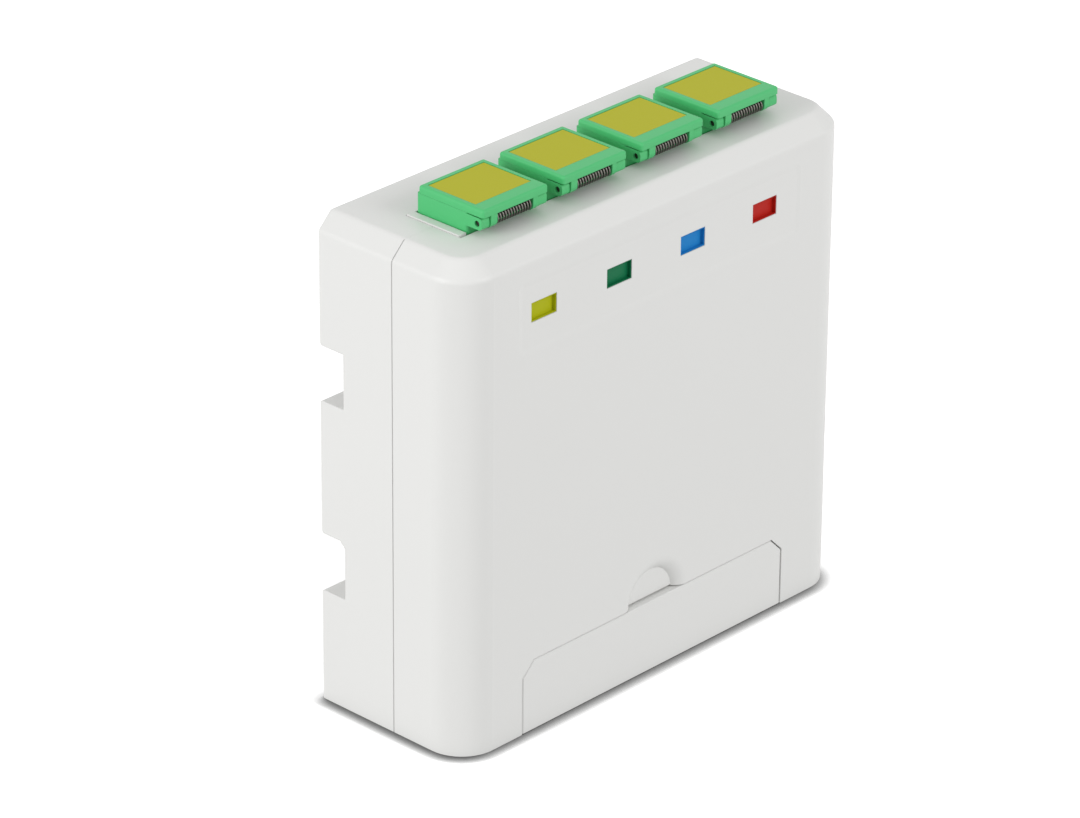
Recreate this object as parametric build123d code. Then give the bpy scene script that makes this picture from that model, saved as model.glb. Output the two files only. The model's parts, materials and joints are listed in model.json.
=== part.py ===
from build123d import *
import os

# A fibre termination box for a 35 mm rail: a two-shell case with a row of optical adapters on its top,
# each under a sprung flip lid. X runs to the right as seen from the front, Y from the front to the rail,
# and Z up from the flat base. The origin is the middle of the base. All lengths are millimetres.

# Case
CASE_W = 76.0
CASE_D = 26.9
CASE_H = 72.4
WALL = 2.0
SEAM_SHARE = 0.48       # the front cover's share of the depth
CORNER_R = 5.7          # upright edges of the front
BACK_R = 0.8            # edges round the back
BEVEL = 2.4             # soft bevel round the top
BEVEL_SOFT = 1.0        # rounding of the bevel's two edges
SEAM_GAP = 0.15         # width of the groove that marks the seam
SEAM_DEPTH = 0.1
FIT = 0.1               # clearance between pieces that are put together by hand
RUN = 0.05              # radial clearance of a pin that turns or slides in its hole

# Rail notches
RAIL_H = 35.0           # height of the standard rail
RAIL_T = 1.0            # thickness of its flanges
RAIL_TOP = 53.4         # height of the rail's top edge above the base
RAIL_PLAY = 1.6         # room under the rail, so that the box can be tipped on and off
NOTCH_D = 4.85
NOTCH_TOP_H = 8.1
NOTCH_LOW_H = 8.6
NOTCH_CUT = 0.9         # bevel at the top of the lower notch
LIP_R = 1.1             # rounding of the notches' outer edges
HOOK_DROP = 1.9         # how far the fixed hooks reach down behind the flange
HOOK_W = 14.0
HOOK_X = 20.0
HOOK_T = 2.2

# Rail latch
LATCH_W = 16.0
LATCH_T = 2.6
LATCH_LOW = 2.9         # height of the latch's foot above the base
LATCH_REACH = 1.5       # how far its top edge reaches up behind the flange
RUNNER_W = 1.3          # side runners in the housing's grooves
RUNNER_T = 1.2
RUNNER_TOP = 14.5
LATCH_HOLE_W = 4.6
LATCH_HOLE_H = 8.6
TOOL_NOTCH_W = 6.0
TOOL_NOTCH_H = 0.9
PEG_H = 1.4             # spring abutment in the housing
LATCH_COIL_R = 0.9
LATCH_WIRE = 0.36
LATCH_TURNS = 7

# Cover pegs
PEG_R = 1.5
PEG_L = 5.0
BOSS_R = 2.7
BOSS_IN = 5.4           # pegs' distance from the sides of the case
BOSS_LOW = 7.5
BOSS_HIGH = 62.0
TONGUE_T = 1.0
TONGUE_L = 1.6
TONGUE_LOW = 15.0
TONGUE_HIGH = 56.0

# Adapter row
PITCH = 15.1
ROW_IN = 7.0            # least room between the row's pitches and the sides of the case
BODY_W = 12.2
BODY_D = 9.2
BODY_L = 27.0
BODY_RISE = 2.95        # how far the adapters stand out of the case
BODY_R = 0.4
PORT_W = 9.2
PORT_D = 7.5
WEB_T = 2.0             # middle wall between the two ports of an adapter
WEB_HOLE_R = 1.75
OUTER_PORT_L = 13.0
FLANGE_W = 13.8
FLANGE_T = 1.7
KEY_W = 2.4
KEY_L = 5.5
COMB_END = 1.5          # the comb's tooth beyond the outermost adapters, as seen from above
COMB_FOOT = 1.0         # the same tooth is this much wider under the case's top wall
COMB_RISE = 0.2
COMB_GAP_SIDE = 0.2     # from an adapter to the teeth beside it, and to the cover before it
COMB_LIP_T = 2.0        # lower lip of the comb's grooves
COMB_BACK_T = 1.6       # the comb's back, behind the adapters
SHELF_T = 2.0

# Port latch and sleeve
HOLDER_T = 1.2
HOLDER_R = 2.2
HOLDER_BORE_R = 1.65
HOLDER_L = 4.6
LIP_BORE_R = 1.35
HOLDER_LIP_T = 0.4
ARM_T = 0.9
ARM_W = 3.4
ARM_L = 6.6
ARM_HOOK = 0.5
SLEEVE_R = 1.6
FERRULE_R = 1.25
SLEEVE_SLIT = 0.3

# Flip lid
LID_W = 12.2
LID_T = 1.1
LID_GAP = 0.02
LID_FRONT = 1.15        # from the hinge axis forward to the lid's front edge
LID_BACK_STEP = 0.3     # the lid ends this far short of the adapter's back
LID_R = 0.4
AXIS_OUT = 1.8          # hinge axis in front of the adapter body
AXIS_UP = 1.95          # hinge axis above the case
PIN_R = 0.4
PIN_INSET = 0.25
EAR_SIDE = 1.7
EAR_R = 0.55
EAR_LEFT_W = 1.45
EAR_RIGHT_W = 1.8
KNUCKLE_R = 1.05
KNUCKLE_LEFT_W = 1.2
KNUCKLE_RIGHT_W = 0.85
KNUCKLE_GAP = 0.1       # between the lid's knuckles and the ears
PLUG_W = 8.4
PLUG_FRONT = 2.9        # from the hinge axis back to the dust plug
PLUG_D = 6.4
PLUG_T = 0.55
LABEL_W = 10.3
LABEL_D = 8.5
LABEL_T = 0.2
LABEL_MARGIN = 1.0      # from the label to the lid's back edge
COIL_R = 0.84
WIRE = 0.26
COIL_TURNS = 12
COIL_GAP = 0.2

# Label windows
WINDOW_W = 4.8
WINDOW_H = 2.8
WINDOW_Z = 62.5
WINDOW_PITCH = 14.4
WINDOW_SHIFT = -1.2     # the windows sit this far off the middle
STRIP_END = 3.6         # from the strip's ends to the nearest windows
STRIP_LOW = 56.8
STRIP_HIGH = 67.2
STRIP_DEPTH = 0.06
STRIP_SLOPE = 0.7       # width of the strip's sloping border
STRIP_R = 1.0
TAB_SET_BACK = 0.12     # rim of a tab's cup, behind the face
TAB_RIM = 0.12
TAB_FLOOR = 0.65        # floor of the cup, behind the face
TAB_FLANGE = 1.1
TAB_FLANGE_T = 1.0

# Cable door
DOOR_IN = 11.95         # door's distance from the sides of the case
DOOR_H = 10.65
DOOR_T = 1.9
DOOR_CUT = 2.1
DOOR_SHIFT = -0.35
DOOR_GAP = 0.15
DOOR_AXIS = 1.7         # hinge axis behind the front face and above the base
DOOR_FOOT = 0.1
STUB_R = 0.85
STUB_L = 1.4
EAR_BLOCK = 4.2
LEDGE = 1.2
LEDGE_T = 1.2
LEDGE_LOW = 5.0
RIB_H = 4.0
RIB_T = 0.8
SCOOP_R = 6.3           # where the dish leaves the face
SCOOP_FLOOR_R = 4.3
SCOOP_DEPTH = 1.1

# Splice tray
TRAY_IN = 8.0           # tray's distance from the sides of the case
TRAY_LOW = 13.5
TRAY_HIGH = 47.0
TRAY_T = 1.5
TRAY_WALL = 1.2
TRAY_WALL_TOP = 38.0    # above this the plugs hang in front of the bare plate
TRAY_DEPTH = 8.0
TRAY_CORNER_R = 4.0
TAB_L = 4.0             # tabs that hold the fibres down
TAB_REACH = 3.0
TAB_T = 0.8
TAB_HEIGHTS = (19.0, 29.0)
ENTRY_W = 8.0
DRUM_R = 7.0            # the fibres bend round these
DRUM_WALL = 1.2
DRUM_PITCH = 26.0
DRUM_CLEAR = 1.0        # between the drums' lips and the tray's screws
DRUM_Z = 29.5
DRUM_H = 6.5
DRUM_LIP = 1.6
DRUM_LIP_W = 5.0
COMB_IN = 10.0          # comb's distance from the sides of the tray
COMB_BASE_T = 1.0
SPLICE_SLOTS = 2        # each slot takes two protectors, one over the other
SPLICE_W = 2.2
RIB_W = 0.7
COMB_RIB_H = 5.2
COMB_GAP = 12.0

# Cable entry and clamp
CABLE_R = 2.5
CABLE_IN = 18.0         # cable entries' distance from the sides of the case
PLATE_IN = 11.5         # entry plate's distance from the sides of the case
PLATE_D = 12.4
PLATE_LIP = 1.2         # its lip lies on the base's inner face
PLATE_LIP_T = 0.9
GROMMET_NECK_R = 3.45
GROMMET_FLANGE_R = 4.6
GROMMET_FLANGE_T = 0.65
GROMMET_TOP = 4.0
CLAMP_SCREW_IN = 6.8    # clamp screws' distance from the cables
CLAMP_Z = 7.5
CLAMP_IN = 10.5         # clamp bar's distance from the sides of the case
CLAMP_H = 4.6
CLAMP_T = 1.6
SADDLE_W = 7.0
SADDLE_H = 3.5

# Screws
SCREW_R = 1.0
SCREW_HEAD_R = 2.1
SCREW_HEAD_H = 1.4
SCREW_L = 6.0
SCREW_BOSS_R = 2.5
SCREW_SLOT = 0.6
SCREW_IN = 4.5          # tray screws' distance from the sides of the tray

# How many adapters the width takes, each with its lid, window and tab
PORTS = int((CASE_W - 2 * ROW_IN) // PITCH)

# Planes and heights that several pieces share
FRONT = -CASE_D / 2
BACK = CASE_D / 2
SEAM = FRONT + CASE_D * SEAM_SHARE
INNER_FRONT = FRONT + WALL
INNER_BACK = BACK - WALL
SIDE = CASE_W / 2
INNER_SIDE = SIDE - WALL
BOSS_X = SIDE - BOSS_IN
TRAY_HALF = SIDE - TRAY_IN
COMB_HALF = TRAY_HALF - COMB_IN
CABLE_X = SIDE - CABLE_IN
CLAMP_X = CABLE_X - CLAMP_SCREW_IN
CLAMP_HALF = SIDE - CLAMP_IN
PLATE_HALF = SIDE - PLATE_IN
DOOR_W = CASE_W - 2 * DOOR_IN
SCREW_X = TRAY_HALF - SCREW_IN
DRUM_SPAN = 2 * (SCREW_X - SCREW_HEAD_R - DRUM_CLEAR - DRUM_R - DRUM_LIP)
NOTCH_FLOOR = BACK - NOTCH_D
BAND = NOTCH_FLOOR - WALL                       # inner face of the wall in front of the rail
RAIL_LOW = RAIL_TOP - RAIL_H
NOTCHES = ((RAIL_TOP - NOTCH_TOP_H, RAIL_TOP),
           (RAIL_LOW - RAIL_PLAY, RAIL_LOW - RAIL_PLAY + NOTCH_LOW_H))
FLANGE_BACK = NOTCH_FLOOR + RAIL_T              # rear face of the rail's flanges
LATCH_FLOOR = BACK - LATCH_T - 2 * FIT - 0.6    # floor of the latch's channel
LATCH_TOP = RAIL_LOW + LATCH_REACH
BODY_TOP = CASE_H + BODY_RISE
BODY_LOW = BODY_TOP - BODY_L
BODY_FRONT = SEAM - BODY_D / 2
BODY_BACK = SEAM + BODY_D / 2
ROW_HALF = (PORTS - 1) * PITCH / 2 + BODY_W / 2
WEB_TOP = BODY_TOP - OUTER_PORT_L
WEB_LOW = WEB_TOP - WEB_T
FLANGE_TOP = CASE_H - WALL - FIT
FLANGE_LOW = FLANGE_TOP - FLANGE_T
COMB_LOW = FLANGE_LOW - FIT - COMB_LIP_T
COMB_TOP_BACK = BODY_BACK + 3 * FIT             # rear edge of the comb where it shows on the top
AXIS_Y = BODY_FRONT - AXIS_OUT
AXIS_Z = CASE_H + AXIS_UP
LID_LOW = BODY_TOP + LID_GAP
LID_TOP = LID_LOW + LID_T
EAR_LEFT = -BODY_W / 2 + EAR_LEFT_W             # inner faces of the ears, from the adapter's middle
EAR_RIGHT = BODY_W / 2 - EAR_RIGHT_W
KNUCKLE_LEFT = EAR_LEFT + KNUCKLE_GAP
KNUCKLE_RIGHT = EAR_RIGHT - KNUCKLE_GAP
DOOR_Y = FRONT + DOOR_AXIS
DOOR_Z = DOOR_AXIS
TRAY_FRONT = BAND - TRAY_T                      # face that the screws and the comb sit on
CLAMP_FACE = SEAM - CABLE_R                     # front of the cable, where the clamp bar bears


def port_x(port):
    """Middle of an adapter, counted from the left."""
    return (port - (PORTS - 1) / 2) * PITCH


def block(x0, x1, y0, y1, z0, z1):
    """A box between two corners."""
    return Pos((x0 + x1) / 2, (y0 + y1) / 2, (z0 + z1) / 2) * Box(x1 - x0, y1 - y0, z1 - z0)


def rod(origin, direction, radius, length):
    """A round bar from a point along a direction."""
    start = (Align.CENTER, Align.CENTER, Align.MIN)
    return Plane(origin=origin, z_dir=direction) * Cylinder(radius, length, align=start)


def case_form(inset):
    """The case's outside, drawn in by inset on every side: round front corners and a bevelled top."""
    form = Pos(0, 0, CASE_H / 2) * Box(CASE_W - 2 * inset, CASE_D - 2 * inset, CASE_H - 2 * inset)
    form = fillet(form.edges().filter_by(Axis.Z).sort_by(Axis.Y)[:2], CORNER_R - inset)
    top = form.faces().sort_by(Axis.Z)[-1]
    rim = [edge for edge in top.edges() if edge.center().Y < BACK - inset - FIT]
    return chamfer(rim, BEVEL - inset * (2 - 2 ** 0.5))


def soften(form):
    """Rounds the two edges of the top's bevel and the outline of the back."""
    low = CASE_H - BEVEL
    rings = [edge for edge in form.edges()
             if edge.bounding_box().size.Z < FIT and edge.center().Z > low - FIT
             and edge.center().Y < BACK - FIT]
    form = fillet(rings, BEVEL_SOFT)
    back = form.faces().sort_by(Axis.Y)[-1]
    return fillet([edge for edge in back.edges() if edge.center().Z > FIT], BACK_R)


def side_profile():
    """The case seen from its end, with the notches for the rail's flanges."""
    profile = Pos(0, CASE_H / 2) * Rectangle(CASE_D, CASE_H)
    for low, high in NOTCHES:
        profile -= Pos(BACK - NOTCH_D / 2, (low + high) / 2) * Rectangle(NOTCH_D, high - low)
    lips = [corner for corner in profile.vertices()
            if corner.X > BACK - FIT and FIT < corner.Y < CASE_H - FIT]
    profile = fillet(lips, LIP_R)
    inner = Vector(NOTCH_FLOOR, NOTCHES[1][1])
    cut = [corner for corner in profile.vertices() if (corner.center() - inner).length < FIT]
    return chamfer(cut, NOTCH_CUT)


def outside():
    """The closed case without its openings."""
    return soften(case_form(0)) & extrude(Plane.YZ * side_profile(), CASE_W, both=True)


def cavity():
    """The room inside, which keeps a wall round the rail notches."""
    room = case_form(WALL)
    for low, high in NOTCHES:
        room -= block(-SIDE, SIDE, BAND, BACK, low - WALL, high + WALL)
    return room


def seam_groove():
    """The fine groove round the seam, on the sides, the base and the bevel."""
    ring = case_form(0) - case_form(SEAM_DEPTH)
    return ring & block(-SIDE, SIDE, SEAM - SEAM_GAP / 2, SEAM + SEAM_GAP / 2, 0, CASE_H - SEAM_DEPTH)


def entry_cut():
    """The cut-out in the base for the cable entry plate, half in each shell."""
    half, depth = PLATE_HALF + FIT, PLATE_D / 2 + FIT
    return block(-half, half, SEAM - depth, SEAM + depth, 0, WALL)


def adapter_comb():
    """The comb let into the case's top: its grooved teeth take the adapters' flanges from the front."""
    half = ROW_HALF + COMB_END
    foot = half + COMB_FOOT
    front = BODY_FRONT - FIT / 2
    comb = block(-half, half, front, COMB_TOP_BACK, FLANGE_TOP, CASE_H + COMB_RISE)
    comb += block(-foot, foot, front, BODY_BACK + COMB_BACK_T, COMB_LOW, FLANGE_TOP)
    for port in range(PORTS):
        x = port_x(port)
        slot, groove = BODY_W / 2 + COMB_GAP_SIDE, FLANGE_W / 2 + FIT
        comb -= block(x - slot, x + slot, FRONT, BODY_BACK + FIT, COMB_LOW, CASE_H + COMB_RISE)
        comb -= block(x - groove, x + groove, FRONT, BODY_BACK + FIT, FLANGE_LOW - FIT, FLANGE_TOP)
    return comb


def screw_points():
    """Where the tray's screws and the clamp's screws stand: x, z and the face that they enter."""
    middle = (NOTCHES[1][1] + NOTCHES[0][0]) / 2
    tray = [(x, middle, BAND) for x in (-SCREW_X, SCREW_X)]
    clamp = [(x, CLAMP_Z, CLAMP_FACE) for x in (-CLAMP_X, CLAMP_X)]
    return tray, clamp


def latch_housing():
    """The thick wall that carries the rail latch, and the T-shaped channel cut in it."""
    notch_low = NOTCHES[1][0]
    half = LATCH_W / 2 + FIT
    groove = half + RUNNER_W
    solid = block(-groove - WALL, groove + WALL, LATCH_FLOOR - WALL, BACK, 0, notch_low)
    channel = block(-half, half, LATCH_FLOOR, BACK, 0, notch_low)
    channel += block(-groove, groove, LATCH_FLOOR, LATCH_FLOOR + RUNNER_T + 2 * FIT, 0, RUNNER_TOP + FIT)
    return solid, channel


def back_shell():
    """The rear half of the case, with the rail hooks, the latch housing and the inner seats."""
    shell = outside() - cavity()
    shell &= block(-SIDE, SIDE, SEAM, BACK, 0, CASE_H)
    housing, channel = latch_housing()
    shell += housing
    # Hooks behind the rail's upper flange
    hook_y = FLANGE_BACK + 2 * FIT
    for x in (-HOOK_X, HOOK_X):
        hook = block(x - HOOK_W / 2, x + HOOK_W / 2, hook_y, hook_y + HOOK_T,
                     RAIL_TOP - HOOK_DROP, RAIL_TOP + WALL / 2)
        tip = hook.edges().filter_by(Axis.X).sort_by(Axis.Z)[:2].sort_by(Axis.Y)[0]
        shell += chamfer(tip, HOOK_T / 3)
    # Cut-out for the adapters' comb, and the shelf that the comb stands on
    reach = ROW_HALF + COMB_END + FIT
    shell -= block(-reach, reach, SEAM, COMB_TOP_BACK + FIT, CASE_H - WALL - FIT, CASE_H)
    shell += block(-INNER_SIDE, INNER_SIDE, BODY_BACK + 4 * FIT, INNER_BACK, COMB_LOW - SHELF_T, COMB_LOW)
    # Sockets for the cover's pegs, tongues inside its side walls
    for x in (-BOSS_X, BOSS_X):
        for z in (BOSS_LOW, BOSS_HIGH):
            shell += rod((x, SEAM, z), (0, 1, 0), BOSS_R, INNER_BACK - SEAM)
            shell -= rod((x, SEAM, z), (0, 1, 0), PEG_R + RUN, PEG_L + WALL / 2)
    for side in (-1, 1):
        root = sorted((side * (INNER_SIDE - FIT - TONGUE_T), side * INNER_SIDE))
        shell += block(*root, SEAM, SEAM + TONGUE_L, TONGUE_LOW, TONGUE_HIGH)
        tongue = sorted((side * (INNER_SIDE - FIT - TONGUE_T), side * (INNER_SIDE - FIT)))
        shell += block(*tongue, SEAM - TONGUE_L, SEAM, TONGUE_LOW, TONGUE_HIGH)
    # Saddles behind the cables, bosses for the screws
    for x in (-CABLE_X, CABLE_X):
        shell += block(x - SADDLE_W / 2, x + SADDLE_W / 2, SEAM + CABLE_R, INNER_BACK,
                       CLAMP_Z - SADDLE_H / 2, CLAMP_Z + SADDLE_H / 2)
    tray, clamp = screw_points()
    for x, z, face in tray + clamp:
        shell += rod((x, face, z), (0, 1, 0), SCREW_BOSS_R, INNER_BACK - face)
    for x, z, face in tray + clamp:
        depth = min(SCREW_L, INNER_BACK - face)
        shell -= rod((x, face, z), (0, 1, 0), SCREW_R + RUN, depth)
    shell -= [channel, entry_cut(), seam_groove()]
    # Abutment for the latch spring, with a nub inside the coil
    spring_y = (LATCH_FLOOR + BACK) / 2
    peg_low = LATCH_LOW + PEG_H
    width = LATCH_HOLE_W / 2 - 4 * FIT
    shell += block(-width, width, LATCH_FLOOR, BACK - 4 * FIT, peg_low, peg_low + PEG_H)
    shell += rod((0, spring_y, peg_low + PEG_H), (0, 0, 1), LATCH_COIL_R / 2, PEG_H)
    return shell


def door_outline(grow):
    """The door's outline with its cut top corners, grown by the given gap."""
    half = DOOR_W / 2 + grow
    top = DOOR_H + grow
    cut = DOOR_CUT + grow * (2 - 2 ** 0.5)
    points = [(-half, 0), (half, 0), (half, top - cut), (half - cut, top),
              (-half + cut, top), (-half, top - cut)]
    return Pos(DOOR_SHIFT, 0) * make_face(Polyline(*points, close=True))


def from_front(sketch, start, depth):
    """Extrudes a sketch of the front view backwards, from start to start + depth behind the face."""
    return extrude(Plane.XZ.offset(-FRONT - start) * sketch, -depth)


def scoop():
    """The finger scoop at the middle of the door's top edge: a dish with a rolled rim and a flat floor."""
    rim, edge = (SCOOP_R, 0), (SCOOP_FLOOR_R, SCOOP_DEPTH)
    roll = TangentArc(rim, edge, tangent=(-1, 0))
    profile = make_face(roll + Polyline(edge, (0, SCOOP_DEPTH), (0, 0), rim))
    relief = block(-SCOOP_FLOOR_R, SCOOP_FLOOR_R, 0, WALL, 0, 2 * DOOR_GAP)
    return Pos(DOOR_SHIFT, FRONT, DOOR_H) * (revolve(profile, Axis.Y) + relief)


def window_x(port):
    """Middle of a label window."""
    return WINDOW_SHIFT + (port - (PORTS - 1) / 2) * WINDOW_PITCH


def front_cover():
    """The front half of the case, with the label windows, the finger scoop and the door's opening."""
    cover = outside() - cavity()
    cover &= block(-SIDE, SIDE, FRONT, SEAM, 0, CASE_H)
    # Slot for the adapters, windows and the shallow strip round them
    reach = ROW_HALF + COMB_END + FIT
    cover -= block(-reach, reach, BODY_FRONT - 2 * COMB_GAP_SIDE, SEAM, CASE_H - 2 * WALL, CASE_H)
    strip_w = (PORTS - 1) * WINDOW_PITCH + WINDOW_W + 2 * STRIP_END
    strip_h = STRIP_HIGH - STRIP_LOW
    middle = Pos(0, (STRIP_LOW + STRIP_HIGH) / 2)
    rim = middle * RectangleRounded(strip_w, strip_h, STRIP_R)
    slope = 2 * STRIP_SLOPE
    floor = middle * RectangleRounded(strip_w - slope, strip_h - slope, STRIP_R / 2)
    cover -= loft([Plane.XZ.offset(-FRONT) * rim, Plane.XZ.offset(-FRONT - STRIP_DEPTH) * floor])
    for port in range(PORTS):
        cover -= from_front(Pos(window_x(port), WINDOW_Z) * Rectangle(WINDOW_W, WINDOW_H), 0, WALL)
    # Ledge behind the door, and the blocks that its stubs turn in
    ledge = from_front(door_outline(LEDGE) - door_outline(-LEDGE), WALL, LEDGE_T)
    cover += ledge & block(-SIDE, SIDE, FRONT, SEAM, LEDGE_LOW, CASE_H)
    edge = DOOR_W / 2 + DOOR_GAP
    for side in (-1, 1):
        outer = edge + STUB_L + 2 * FIT + WALL / 2
        ends = sorted((DOOR_SHIFT + side * edge, DOOR_SHIFT + side * outer))
        cover += block(*ends, FRONT, FRONT + EAR_BLOCK, 0, EAR_BLOCK)
    cover -= from_front(door_outline(DOOR_GAP), 0, WALL)
    sweep = DOOR_Y + DOOR_AXIS + 2 * FIT
    cover -= block(DOOR_SHIFT - edge, DOOR_SHIFT + edge, FRONT, sweep, 0, WALL + FIT)
    hole = edge + STUB_L + FIT
    cover -= rod((DOOR_SHIFT - hole, DOOR_Y, DOOR_Z), (1, 0, 0), STUB_R + RUN, 2 * hole)
    cover -= scoop()
    # Bosses with the pegs that slide into the shell's sockets
    for x in (-BOSS_X, BOSS_X):
        for z in (BOSS_LOW, BOSS_HIGH):
            cover += rod((x, INNER_FRONT, z), (0, 1, 0), BOSS_R, SEAM - FIT - INNER_FRONT)
            peg = rod((x, INNER_FRONT, z), (0, 1, 0), PEG_R, SEAM + PEG_L - INNER_FRONT)
            cover += chamfer(peg.edges().sort_by(Axis.Y)[-1], PEG_R / 3)
    cover -= [entry_cut(), seam_groove()]
    return cover


def cable_door():
    """The low panel at the foot of the front, hinged on two stubs along its lower edge."""
    door = from_front(door_outline(0), 0, DOOR_T)
    door &= block(-SIDE, SIDE, FRONT, SEAM, DOOR_FOOT, CASE_H)
    outer = door.faces().sort_by(Axis.Y)[0]
    door = chamfer(outer.edges().filter_by(lambda edge: edge.center().Z > DOOR_FOOT + FIT), DOOR_GAP)
    half = DOOR_W / 2
    rib = half - 2 * LEDGE
    centre = (DOOR_H + LEDGE_LOW) / 2 - LEDGE
    door += block(DOOR_SHIFT - rib, DOOR_SHIFT + rib, FRONT + DOOR_T, FRONT + DOOR_T + RIB_T,
                  centre - RIB_H / 2, centre + RIB_H / 2)
    door += rod((DOOR_SHIFT - half - STUB_L, DOOR_Y, DOOR_Z), (1, 0, 0), STUB_R, DOOR_W + 2 * STUB_L)
    return door


def port_tab(port):
    """A coloured tab: a cup that lines its window almost to the face, on a flange behind the wall."""
    middle = Pos(window_x(port), WINDOW_Z)
    cup_w, cup_h = WINDOW_W - 2 * RUN, WINDOW_H - 2 * RUN
    tab = from_front(middle * Rectangle(cup_w, cup_h), TAB_SET_BACK, WALL - TAB_SET_BACK)
    tab -= from_front(middle * Rectangle(cup_w - 2 * TAB_RIM, cup_h - 2 * TAB_RIM), 0, TAB_FLOOR)
    flange = Rectangle(WINDOW_W + 2 * TAB_FLANGE, WINDOW_H + 2 * TAB_FLANGE)
    return tab + from_front(middle * flange, WALL, TAB_FLANGE_T)


def adapter_body(port):
    """An adapter housing: a port at each end, a flange for the comb and two ears for the lid's pin."""
    x = port_x(port)
    half = BODY_W / 2
    body = block(x - half, x + half, BODY_FRONT, BODY_BACK, BODY_LOW, BODY_TOP)
    body = fillet(body.edges().filter_by(Axis.Z), BODY_R)
    body += block(x - FLANGE_W / 2, x + FLANGE_W / 2, BODY_FRONT, BODY_BACK,
                  FLANGE_LOW, FLANGE_TOP)
    # Ears with their webs back to the body
    ear = Pos(AXIS_Y, AXIS_Z) * RectangleRounded(EAR_SIDE, EAR_SIDE, EAR_R)
    web = AXIS_OUT + BODY_R
    ear += Pos(AXIS_Y + web / 2, AXIS_Z) * Rectangle(web, EAR_SIDE)
    for start, width in ((-half, EAR_LEFT_W), (EAR_RIGHT, EAR_RIGHT_W)):
        body += extrude(Plane.YZ.offset(x + start) * ear, width)
    body -= rod((x - half, AXIS_Y, AXIS_Z), (1, 0, 0), PIN_R + RUN / 2, BODY_W)
    # Ports, the hole in the web between them, and the keyway in the rear wall
    for low, high in ((WEB_TOP, BODY_TOP), (BODY_LOW, WEB_LOW)):
        body -= block(x - PORT_W / 2, x + PORT_W / 2, SEAM - PORT_D / 2, SEAM + PORT_D / 2, low, high)
    body -= rod((x, SEAM, WEB_LOW), (0, 0, 1), WEB_HOLE_R, WEB_T)
    for low in (BODY_TOP - KEY_L, BODY_LOW):
        body -= block(x - KEY_W / 2, x + KEY_W / 2, SEAM, BODY_BACK, low, low + KEY_L)
    return body


def port_latch(port, face, up):
    """The snap latch in a port: a plate on the web, half of the sleeve's holder and two hooked arms."""
    x = port_x(port)
    half_w, half_d = PORT_W / 2 - FIT, PORT_D / 2 - FIT
    plate = block(x - half_w, x + half_w, SEAM - half_d, SEAM + half_d, 0, HOLDER_T)
    latch = plate + rod((x, SEAM, 0), (0, 0, 1), HOLDER_R, HOLDER_L)
    for side in (-1, 1):
        outer, inner = side * half_w, side * (half_w - ARM_T)
        tip = side * (half_w - ARM_T - ARM_HOOK)
        arm = [(outer, 0), (outer, ARM_L), (inner, ARM_L), (tip, ARM_L - ARM_HOOK),
               (inner, ARM_L - 3 * ARM_HOOK), (inner, 0)]
        outline = Pos(x, 0) * make_face(Polyline(*arm, close=True))
        profile = Plane.XZ.offset(-SEAM + ARM_W / 2) * outline
        latch += extrude(profile, -ARM_W)
    latch -= rod((x, SEAM, 0), (0, 0, 1), HOLDER_BORE_R, HOLDER_L - HOLDER_LIP_T)
    latch -= rod((x, SEAM, 0), (0, 0, 1), LIP_BORE_R, HOLDER_L)
    return Pos(0, 0, face) * (latch if up else mirror(latch, Plane.XY))


def sleeve(port):
    """The split sleeve that lines up two ferrules."""
    x = port_x(port)
    reach = HOLDER_L - HOLDER_LIP_T - FIT
    low, length = WEB_LOW - reach, WEB_T + 2 * reach
    tube = rod((x, SEAM, low), (0, 0, 1), SLEEVE_R, length)
    tube -= rod((x, SEAM, low), (0, 0, 1), FERRULE_R, length)
    slit = SLEEVE_SLIT / 2
    return tube - block(x, x + SLEEVE_R, SEAM - slit, SEAM + slit, low, low + length)


def lid(port):
    """A flip lid: a plate with a pocket for its label, a dust plug under it and two knuckles on the pin."""
    x = port_x(port)
    half = LID_W / 2
    front, back = AXIS_Y - LID_FRONT, BODY_BACK - LID_BACK_STEP
    plate = block(x - half, x + half, front, back, LID_LOW, LID_TOP)
    plate = fillet(plate.edges().filter_by(Axis.Z), LID_R)
    plate = fillet(plate.faces().sort_by(Axis.Z)[-1].edges(), LID_R)
    knuckle = Pos(AXIS_Y, AXIS_Z) * Circle(KNUCKLE_R)
    rise = LID_LOW + LID_R - AXIS_Z
    knuckle += Pos(AXIS_Y, AXIS_Z + rise / 2) * Rectangle(2 * KNUCKLE_R, rise)
    spans = ((KNUCKLE_LEFT, KNUCKLE_LEFT_W), (KNUCKLE_RIGHT - KNUCKLE_RIGHT_W, KNUCKLE_RIGHT_W))
    for start, width in spans:
        plate += extrude(Plane.YZ.offset(x + start) * knuckle, width)
    plate -= rod((x - half, AXIS_Y, AXIS_Z), (1, 0, 0), PIN_R + RUN, LID_W)
    plug = block(x - PLUG_W / 2, x + PLUG_W / 2, AXIS_Y + PLUG_FRONT, AXIS_Y + PLUG_FRONT + PLUG_D,
                 LID_LOW - PLUG_T, LID_LOW)
    plate += chamfer(plug.faces().sort_by(Axis.Z)[0].edges(), PLUG_T / 2)
    return plate - label_form(port, FIT, FIT)


def label_form(port, grow, rise):
    """The label's solid in its pocket, grown all round and upwards for the pocket's own cut."""
    x = port_x(port)
    half = LABEL_W / 2 + grow
    back = BODY_BACK - LID_BACK_STEP - LABEL_MARGIN
    floor = LID_TOP - LABEL_T - RUN
    return block(x - half, x + half, back - LABEL_D - grow, back + grow, floor, floor + LABEL_T + rise)


def lid_label(port):
    """The plain label on the lid."""
    return label_form(port, 0, 0)


def lid_pin(port):
    """The hinge pin, sunk a little in both ears."""
    start = port_x(port) - BODY_W / 2 + PIN_INSET
    return rod((start, AXIS_Y, AXIS_Z), (1, 0, 0), PIN_R, BODY_W - 2 * PIN_INSET)


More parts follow.
